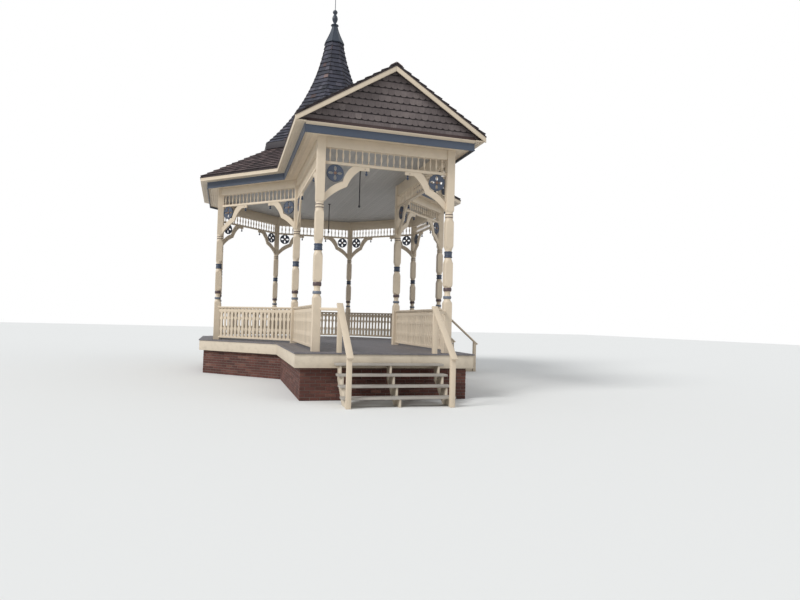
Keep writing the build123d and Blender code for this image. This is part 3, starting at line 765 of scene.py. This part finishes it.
# Cornice: boarded soffits, blue band, eave boards and the crown moulding
SQUARE_FRONT = 0.55
SOFFIT_BOARD = 0.02
SOFFIT_GAP = 0.001
SOFFIT_EASE = 0.006


def soffit_boards(skin, bay, inner, outer, low, count, ends=(None, None)):
    """Narrow boards along a bay with grooves between them on the underside."""
    width, ease, high = (outer - inner) / count, low + SOFFIT_EASE, low + SOFFIT_BOARD
    for index in range(count):
        start, end = inner + index * width + SOFFIT_GAP / 2, inner + (index + 1) * width - SOFFIT_GAP / 2
        section = [(start, high), (start, ease), (start + SOFFIT_EASE, low)]
        section += [(end - SOFFIT_EASE, low), (end, ease), (end, high)]
        skin.run(bay, section, ends, tone=RANDOM.random())


def open_ends(bay):
    """Square ends at the gable of the boards along the porch's sides."""
    return tuple(SQUARE_FRONT if bay == side else None for side in (PORCH_RIGHT_BAY, PORCH_LEFT_BAY))


BAND = (
    (BAND_INSIDE, BAND_BOTTOM), (BAND_SPREAD - 0.006, BAND_BOTTOM), (BAND_SPREAD, BAND_BOTTOM + 0.006),
    (BAND_SPREAD, BAND_BOTTOM + 0.022), (BAND_SPREAD - 0.006, BAND_BOTTOM + 0.028),
    (BAND_SPREAD - 0.006, BAND_TOP - 0.028), (BAND_SPREAD, BAND_TOP - 0.022), (BAND_SPREAD, BAND_TOP),
    (BAND_INSIDE, BAND_TOP),
)
EAVE = (
    (EAVE_INSIDE, BAND_TOP), (EAVE_SPREAD - 0.010, BAND_TOP), (EAVE_SPREAD - 0.006, BAND_TOP + 0.004),
    (EAVE_SPREAD - 0.006, EAVE_TOP - 0.040), (EAVE_SPREAD, EAVE_TOP - 0.028), (EAVE_SPREAD, EAVE_TOP),
    (EAVE_INSIDE, EAVE_TOP),
)
lower, band, upper, eaves = Skin(), Skin(), Skin(), Skin()
for bay in BAYS:
    soffit_boards(lower, bay, BEAM_WIDTH / 2, BAND_INSIDE, SOFFIT, 5)
    band.run(bay, BAND, tone=RANDOM.random())
    if bay != PORCH_FRONT_BAY:
        soffit_boards(upper, bay, BAND_INSIDE, EAVE_INSIDE, BAND_TOP, 3, open_ends(bay))
        eaves.run(bay, EAVE, open_ends(bay), tone=RANDOM.random())
lower.finish("lower_soffit_boards", [CREAM], "lower_soffit", "cream_paint")
band.finish("cornice_band_moulded", [BLUE], "cornice_band", "blue_paint")
upper.finish("upper_soffit_boards", [CREAM], "upper_soffit", "cream_paint")
eaves.finish("eave_boards_moulded", [CREAM], "eave_boards", "cream_paint")

# The crown and the sloping ledge on it, by how far out and how high each point is from the band's top
CYMA = [(0.020 + 0.048 * step / 6, -0.018 + 0.030 * (step / 6) ** 1.6) for step in range(7)]
CROWN = [(0, -0.025), (0.018, -0.025)] + CYMA + [(0.075, 0.013), (0.075, 0.025), (0, 0.025)]
LEDGE_ON_CROWN = [(-0.03, 0.025), (0.075, 0.025), (0.075, 0.037), (0.004, 0.115), (-0.03, 0.115)]
crown = Skin()
for mark, points in enumerate((CROWN, LEDGE_ON_CROWN)):
    section = [(BAND_SPREAD + out, BAND_TOP + level) for out, level in points]
    crown.run(PORCH_FRONT_BAY, section, (BAND_INSIDE, BAND_INSIDE), mark=mark)
crown.finish("crown_moulded", [CREAM, LEDGE], "crown_moulding", "cream_paint")

# Roofs: rows of shingles over lowered copies of their solids
SHINGLE_WIDTH = 0.17
SHINGLE_BUTT = 0.026
SHINGLE_SINK = 0.048
SHINGLE_LAP = 1.3


def lowered_copy(name, node, move, paint, slot):
    """Copy of a solid with its points moved, to carry the shingles that make up its surface."""
    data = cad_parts[node].data.copy()
    data.name = name
    for vertex in data.vertices:
        vertex.co = move(vertex.co.copy())
    data.materials.clear()
    data.materials.append(paint)
    data.update()
    settle(name, data, node, slot)


def shingle_row(skin, place, low, high, run, exposure, play=0.0, brown=0.0):
    """Row of shingles in a plane: low and high are the row's two ends at its butts and its heads."""
    left, right = low
    far_left, far_right = high
    fall = SHINGLE_BUTT / exposure
    across = min(left, far_left) - RANDOM.random() * SHINGLE_WIDTH
    while across < max(right, far_right):
        size = SHINGLE_WIDTH * RANDOM.uniform(0.7, 1.3)
        start, end = across + 0.002, across + size - 0.002
        across += size
        butt, skew = RANDOM.uniform(0.006, 0.022), RANDOM.uniform(-0.005, 0.005)
        tile = [(start, butt), (end, butt + skew), (end, run), (start, run)]
        past = RANDOM.uniform(0, play)
        tile = clip(tile, (left - past, 0), (run, left - far_left))
        tile = clip(tile, (right + past, 0), (-run, far_right - right))
        if len(tile) < 3 or signed_area(tile) < 0.0006:
            continue
        lift, curl = RANDOM.uniform(-0.004, 0), RANDOM.uniform(-0.002, 0.002)
        top = [(u, v, lift - fall * v + curl * (u - start) / size) for u, v in tile]
        bottom = [(u, v, z - SHINGLE_BUTT * (1 - 0.6 * v / run)) for u, v, z in top]
        tone, mark = RANDOM.betavariate(2.0, 2.2), 2 * int(RANDOM.random() < brown)
        # The butt edges and the underside take the painted shade (paint 1); the top keeps the shingle's own
        # colour
        skin.stack([bottom, top], place, tone, [1, mark])


def slope_place(origin, along, up):
    """Matrix of a sloping plane: x along the eave, y up the slope, z out of the roof."""
    along, up = along.normalized(), up.normalized()
    out = along.cross(up)
    rows = [(along[axis], up[axis], out[axis], origin[axis]) for axis in range(3)]
    return Matrix((*rows, (0, 0, 0, 1)))


def shingled_slope(skin, origin, along, up, height, limits, rows):
    """Rows of shingles up a flat slope; limits gives a row's two ends at a distance up it."""
    exposure = height / rows
    for row in range(-1, rows):
        distance = max(row, 0) * exposure
        run = min(exposure * SHINGLE_LAP, height - distance)
        sunk = SHINGLE_BUTT * 0.8 if row < 0 else 0
        place = slope_place(origin, along, up) @ Matrix.Translation((0, distance, -sunk))
        low, high = limits(distance), limits(distance + run)
        if low[1] - low[0] > 0.03 or high[1] - high[0] > 0.03:
            shingle_row(skin, place, low, high, run, exposure)


# The valley beside the porch roof: its place along the next face's eave, and how the rows meet it
VALLEY_FOOT = 1.256
VALLEY_LEAN = 0.4142
VALLEY_LAP = 0.03


def skirt_limits(face, side):
    """Ends of a row on a face of the skirt roof, short of the hips and of the porch roof."""

    def limits(distance):
        inward = distance * cos(SLOPE)
        hip = (ROOF_APOTHEM - inward) * tan(pi / 8) - 0.003
        valley = VALLEY_FOOT + inward * VALLEY_LEAN + VALLEY_LAP
        left, right = -hip, hip
        if face == 0 and side > 0:
            left = max(left, ROOF_HALF_WIDTH - inward - VALLEY_LAP)
        if face == 0 and side < 0:
            right = min(right, inward + VALLEY_LAP - ROOF_HALF_WIDTH)
        if face == 1:
            left = max(left, -valley)
        if face == 7:
            right = min(right, valley)
        return left, right

    return limits


SKIRT_RUN = (ROOF_APOTHEM - COLLAR_APOTHEM) / cos(SLOPE)
SKIRT_ROWS = 11
skirt = Skin()
for face in range(8):
    out, along = facing(radians(45 * face - 90))
    up = Vector((0, 0, sin(SLOPE))) - out * cos(SLOPE)
    origin = out * ROOF_APOTHEM + Vector((0, 0, ROOF_EDGE))
    for side in (1, -1) if face == 0 else (1,):
        shingled_slope(skirt, origin, along, up, SKIRT_RUN, skirt_limits(face, side), SKIRT_ROWS)
skirt.finish("skirt_shingles", [SHINGLES, PAINTED_SHADE], None, "wood_shingles", 30)


def porch_limits(hand):
    """Ends of a row on a slope of the porch roof, from the skirt roof to the gable."""

    def limits(distance):
        across = ROOF_HALF_WIDTH - distance * cos(SLOPE)
        gap = ROOF_APOTHEM - ROOF_HALF_WIDTH
        valley = max(-gap - across, -across * tan(pi / 8) - gap * 2**0.5)
        front, back = -PORCH_FRONT - RAKE_SPREAD, min(valley + VALLEY_LAP, -COLLAR_APOTHEM)
        return (front, back) if hand > 0 else (-back, -front)

    return limits


PORCH_RUN = ROOF_HALF_WIDTH / cos(SLOPE)
PORCH_ROWS = 12
RIDGE_BOARD = 0.24
porch = Skin()
for hand in (-1, 1):
    origin = Vector((hand * ROOF_HALF_WIDTH, 0, ROOF_EDGE))
    along = Vector((0, hand, 0))
    up = Vector((-hand * cos(SLOPE), 0, sin(SLOPE)))
    shingled_slope(porch, origin, along, up, PORCH_RUN, porch_limits(hand), PORCH_ROWS)
    middle = RIDGE_BOARD / 2 - PORCH_FRONT - RAKE_SPREAD
    while middle < -COLLAR_APOTHEM - RIDGE_BOARD / 2:
        place = slope_place(Vector((0, middle, RIDGE - 0.004)), -along, -up)
        porch.box((-0.118, 0.002, 0), (0.118, 0.16, 0.012), place, 0.002, RANDOM.random())
        middle += RIDGE_BOARD
porch.finish("porch_shingles", [SHINGLES, PAINTED_SHADE], None, "wood_shingles", 30)


def octagon_reach(point):
    """Apothem of the upright octagonal prism that a point is on."""
    return max(point.x * cos(turn * pi / 4) + point.y * sin(turn * pi / 4) for turn in range(8))


def under_skirt(point):
    """Sink the upper face of the skirt roof under its shingles."""
    if point.z > ROOF_EDGE - 0.01 + (ROOF_APOTHEM - octagon_reach(point)) * tan(SLOPE):
        point.z -= SHINGLE_SINK / cos(SLOPE)
    return point


def under_porch(point):
    """Sink the upper face of the porch roof under its shingles."""
    if point.z > RIDGE - abs(point.x) * tan(SLOPE) - 0.01:
        point.z -= SHINGLE_SINK / cos(SLOPE)
    return point


lowered_copy("skirt_roof_deck", "skirt_roof", under_skirt, SHINGLES, "wood_shingles")
lowered_copy("porch_roof_deck", "porch_roof", under_porch, SHINGLES, "wood_shingles")

# Spire: rows of shingles that follow the bow of its faces, a few of them as brown as the skirt's
SPIRE_ROWS = 27
HIP_PLAY = 0.014
BROWN_SHARE = 0.05


def spire_stops():
    """Apothem and level at equal steps up the bowed side."""
    foot, head = Vector((SPIRE_APOTHEM, 0)), Vector((SPIRE_TOP_APOTHEM, SPIRE_TOP - SPIRE_BOTTOM))
    side = arc(foot, head, SPIRE_BOW, SPIRE_ROWS) + [tuple(head)]
    return [(reach, level + SPIRE_BOTTOM) for reach, level in side]


def spire_rows():
    """Shingles on the eight bowed faces."""
    skin = Skin()
    stops = spire_stops()
    for face in range(8):
        out, along = facing(radians(45 * face))
        for row, (start, end) in enumerate(zip(stops, stops[1:])):
            exposure = hypot(start[0] - end[0], start[1] - end[1])
            run = exposure * (SHINGLE_LAP if row < SPIRE_ROWS - 1 else 1.0)
            up = out * (end[0] - start[0]) + Vector((0, 0, end[1] - start[1]))
            place = slope_place(out * start[0] + Vector((0, 0, start[1])), along, up)
            head = start[0] + (end[0] - start[0]) * run / exposure
            low, high = start[0] * tan(pi / 8), head * tan(pi / 8)
            shingle_row(skin, place, (-low, low), (-high, high), run, exposure, HIP_PLAY, BROWN_SHARE)
    skin.finish("spire_shingles", [SPIRE, PAINTED_SHADE, SHINGLES], None, "spire_slates", 30)


def under_spire(point):
    """Draw the outer skin of the spire in under its shingles."""
    reach = octagon_reach(point)
    share = (point.z - SPIRE_BOTTOM) / (SPIRE_TOP - SPIRE_BOTTOM)
    inner = SPIRE_APOTHEM + (SPIRE_TOP_APOTHEM - SPIRE_APOTHEM) * share - SPIRE_BOW * 4 * share * (1 - share)
    if reach > inner - 0.05:
        scale = (reach - SHINGLE_SINK) / reach
        point = Vector((point.x * scale, point.y * scale, point.z))
    return point


spire_rows()
lowered_copy("spire_deck", "spire", under_spire, SPIRE, "spire_slates")

# Gable: rows of round-ended shingles, with painted shade where the next row shades them
GABLE_COURSE = 0.155
GABLE_FOOT = BAND_TOP + 0.06
GABLE_PEAK = RIDGE - 0.105
GABLE_EDGE = ROOF_HALF_WIDTH - 0.12
GABLE_SINK = 0.034
SCALE_WIDTH = 0.145
SCALE_BUTT = 0.016
# Height of the painted shade strip just under the next row's round ends
SHADED = 0.014


def gable_scale(middle, base):
    """Outline of one shingle by the middle and the level of its round end."""
    reach = SCALE_WIDTH / 2 - 0.0006
    turns = [pi + pi * step / 10 for step in range(11)]
    scale = [(middle + reach * cos(turn), base + reach * (0.6 + 0.6 * sin(turn))) for turn in turns]
    head = base + GABLE_COURSE * 1.35
    return scale + [(middle + reach, head), (middle - reach, head)]


def gable_scales():
    """Fish-scale shingles on the gable wall."""
    skin = Skin()
    place = bay_frame(PORCH_FRONT_BAY) @ Matrix.Translation((0, 0, BAND_SPREAD))
    for row in range(int((GABLE_PEAK - GABLE_FOOT) / GABLE_COURSE) + 1):
        base = GABLE_FOOT + row * GABLE_COURSE
        rake = (GABLE_PEAK - base) / tan(SLOPE)
        reach = min(rake, GABLE_EDGE)
        middle = -(int(reach / SCALE_WIDTH) + 1 + row % 2 / 2) * SCALE_WIDTH
        while middle < reach + SCALE_WIDTH:
            scale = gable_scale(middle, base + RANDOM.uniform(-0.004, 0.004))
            middle += SCALE_WIDTH
            for hand in (-1, 1):
                scale = clip(scale, (hand * rake, base), (-hand * sin(SLOPE), -cos(SLOPE)))
                scale = clip(scale, (hand * GABLE_EDGE, base), (-hand, 0))
            tone = RANDOM.betavariate(3, 3)
            # Above this line the shingle takes the painted shade of the next row's butts; below it keeps its
            # own colour
            for side, mark in ((-1, 0), (1, 1)):
                tile = clip(scale, (0, base + GABLE_COURSE - SHADED), (0, side))
                if len(tile) < 3 or signed_area(tile) < 0.0002:
                    continue
                fall = [SCALE_BUTT * (y - base) / GABLE_COURSE for x, y in tile]
                top = [(x, y, -depth) for (x, y), depth in zip(tile, fall)]
                bottom = [(x, y, -SCALE_BUTT - depth * 0.4) for (x, y), depth in zip(tile, fall)]
                skin.stack([bottom, top], place, tone, [1, mark])
    skin.finish("gable_scales", [GABLE, PAINTED_SHADE], None, "gable_shingles", 30)


def under_scales(point):
    """Draw the gable wall's face back behind its shingles."""
    if point.y < -PORCH_FRONT - BAND_SPREAD + 0.01:
        point.y += GABLE_SINK
    return point


gable_scales()
# The wall behind the shingles, seen between their round ends, is painted in the shade colour
lowered_copy("gable_wall_boards", "gable_wall", under_scales, PAINTED_SHADE, "gable_shingles")

# Metal cap with rolled hips, finial and lightning rod
CAP_PROFILE = (
    (0.335, 0.0), (0.345, 0.004), (0.347, 0.012), (0.345, 0.022), (0.330, 0.030), (0.318, 0.060),
    (0.290, 0.125), (0.262, 0.185), (0.235, 0.250), (0.205, 0.320), (0.175, 0.395), (0.148, 0.470),
    (0.125, 0.545), (0.108, 0.605), (0.098, 0.640),
)
ROLL = circle(0, 0, 0.008, 8)[::-1]
corners = [facing(radians(45 * index - 67.5)) for index in range(8)]
cap = Skin()
rings = []
for apothem, level in CAP_PROFILE:
    rings.append([out * (apothem / cos(pi / 8)) + Vector((0, 0, SPIRE_TOP + level)) for out, side in corners])
cap.stack(rings)
for index in range(8):
    side = corners[(index + 2) % 8][1]
    hip = [ring[(index + 2) % 8] for ring in rings[4:]]
    for start, end in zip(hip, hip[1:]):
        levels = (-0.002, (end - start).length + 0.002)
        cap.stack([[(x, y, z) for x, z in ROLL] for y in levels], slope_place(start, side, end - start))
cap.finish("spire_cap_folded", [METAL], "spire_cap", "cap_metal", 25)

FINIAL = (
    (0.098, 0.0), (0.104, 0.010), (0.100, 0.022), (0.092, 0.034), (0.112, 0.052), (0.134, 0.066),
    (0.140, 0.080), (0.134, 0.094), (0.112, 0.108), (0.078, 0.124), (0.056, 0.140), (0.047, 0.157),
    (0.048, 0.172), (0.058, 0.196), (0.074, 0.228), (0.089, 0.262), (0.098, 0.298), (0.101, 0.331),
    (0.097, 0.364), (0.086, 0.400), (0.070, 0.432), (0.054, 0.460), (0.044, 0.478), (0.048, 0.496),
    (0.062, 0.516), (0.078, 0.540), (0.085, 0.562), (0.085, 0.585), (0.074, 0.608), (0.054, 0.632),
    (0.030, 0.650), (0.012, 0.663), (0.012, 1.205), (0.006, 1.213),
)
finial = Skin()
finial.lathe(FINIAL, 40, Matrix.Translation((0, 0, CAP_TOP)))
finial.finish("finial_turned", [METAL], "finial", "cap_metal", 40)

# Rods that hang from the ceilings, with a knob at the end and a rose at the top
HANGER = (
    (0.006, -1.035), (0.020, -1.030), (0.031, -1.018), (0.035, -1.000), (0.031, -0.982), (0.020, -0.970),
    (0.015, -0.962), (0.015, -0.030), (0.035, -0.020), (0.050, -0.006), (0.052, 0.0),
)
rods = Skin()
for y in (0, -5.07):
    rods.lathe(HANGER, 20, Matrix.Translation((0, y, BEAM_TOP)))
rods.finish("hanging_rods_turned", [IRON], "hanging_rods", "dark_iron", 40)

# Floor, light and camera
corners = [(x, y, -0.002) for x, y in ((-70, -70), (70, -70), (70, 90), (-70, 90))]
data = bpy.data.meshes.new("floor")
data.from_pydata(corners, [], [(0, 1, 2, 3)])
pale = Finish("pale_floor", 0.9)
pale.shader.inputs["Base Color"].default_value = (0.80, 0.80, 0.78, 1)
data.materials.append(pale.material)
floor = bpy.data.objects.new("floor", data)
bpy.context.scene.collection.objects.link(floor)


def lamp(name, toward, angle, strength):
    """Distant soft light that shines along a direction."""
    light = bpy.data.lights.new(name, "SUN")
    light.angle = radians(angle)
    light.energy = strength
    holder = bpy.data.objects.new(name, light)
    holder.rotation_euler = Vector(toward).to_track_quat("-Z", "Y").to_euler()
    bpy.context.scene.collection.objects.link(holder)


lamp("key", (0.88, 0.40, -0.70), 22, 2.2)
lamp("fill", (-0.70, 0.60, -0.35), 60, 0.35)

world = bpy.data.worlds.new("studio")
world.use_nodes = True
bpy.context.scene.world = world
nodes, links = world.node_tree.nodes, world.node_tree.links
glow, white = nodes["Background"], nodes.new("ShaderNodeBackground")
glow.inputs["Color"].default_value = (0.93, 0.96, 1.0, 1)
glow.inputs["Strength"].default_value = 0.62
white.inputs["Color"].default_value = (1, 1, 1, 1)
rays, choose = nodes.new("ShaderNodeLightPath"), nodes.new("ShaderNodeMixShader")
links.new(rays.outputs["Is Camera Ray"], choose.inputs["Fac"])
links.new(glow.outputs["Background"], choose.inputs[1])
links.new(white.outputs["Background"], choose.inputs[2])
links.new(choose.outputs["Shader"], nodes["World Output"].inputs["Surface"])

# The photo's camera: the focal length is in pixels of the photo, which is 800 pixels wide
PHOTO_WIDTH = 800
FOCAL_LENGTH = 593.13
EYE = (-3.42373, -20.98700, 1.71670)
YAW, PITCH, TILT = radians(16.3318), radians(2.1114), radians(1.4816)
ahead = Vector((sin(YAW) * cos(PITCH), cos(YAW) * cos(PITCH), sin(PITCH)))
right = Vector((cos(YAW), -sin(YAW), 0))
above = right.cross(ahead)
axes = (right * cos(TILT) + above * sin(TILT), above * cos(TILT) - right * sin(TILT), -ahead)
lens = bpy.data.cameras.new("photo_view")
lens.sensor_width = 36
lens.lens = lens.sensor_width * FOCAL_LENGTH / PHOTO_WIDTH
lens.clip_end = 200
camera = bpy.data.objects.new("photo_view", lens)
camera.matrix_world = Matrix.Translation(EYE) @ Matrix(axes).transposed().to_4x4()
bpy.context.scene.collection.objects.link(camera)
bpy.context.scene.camera = camera
bpy.context.scene.view_settings.view_transform = "Standard"
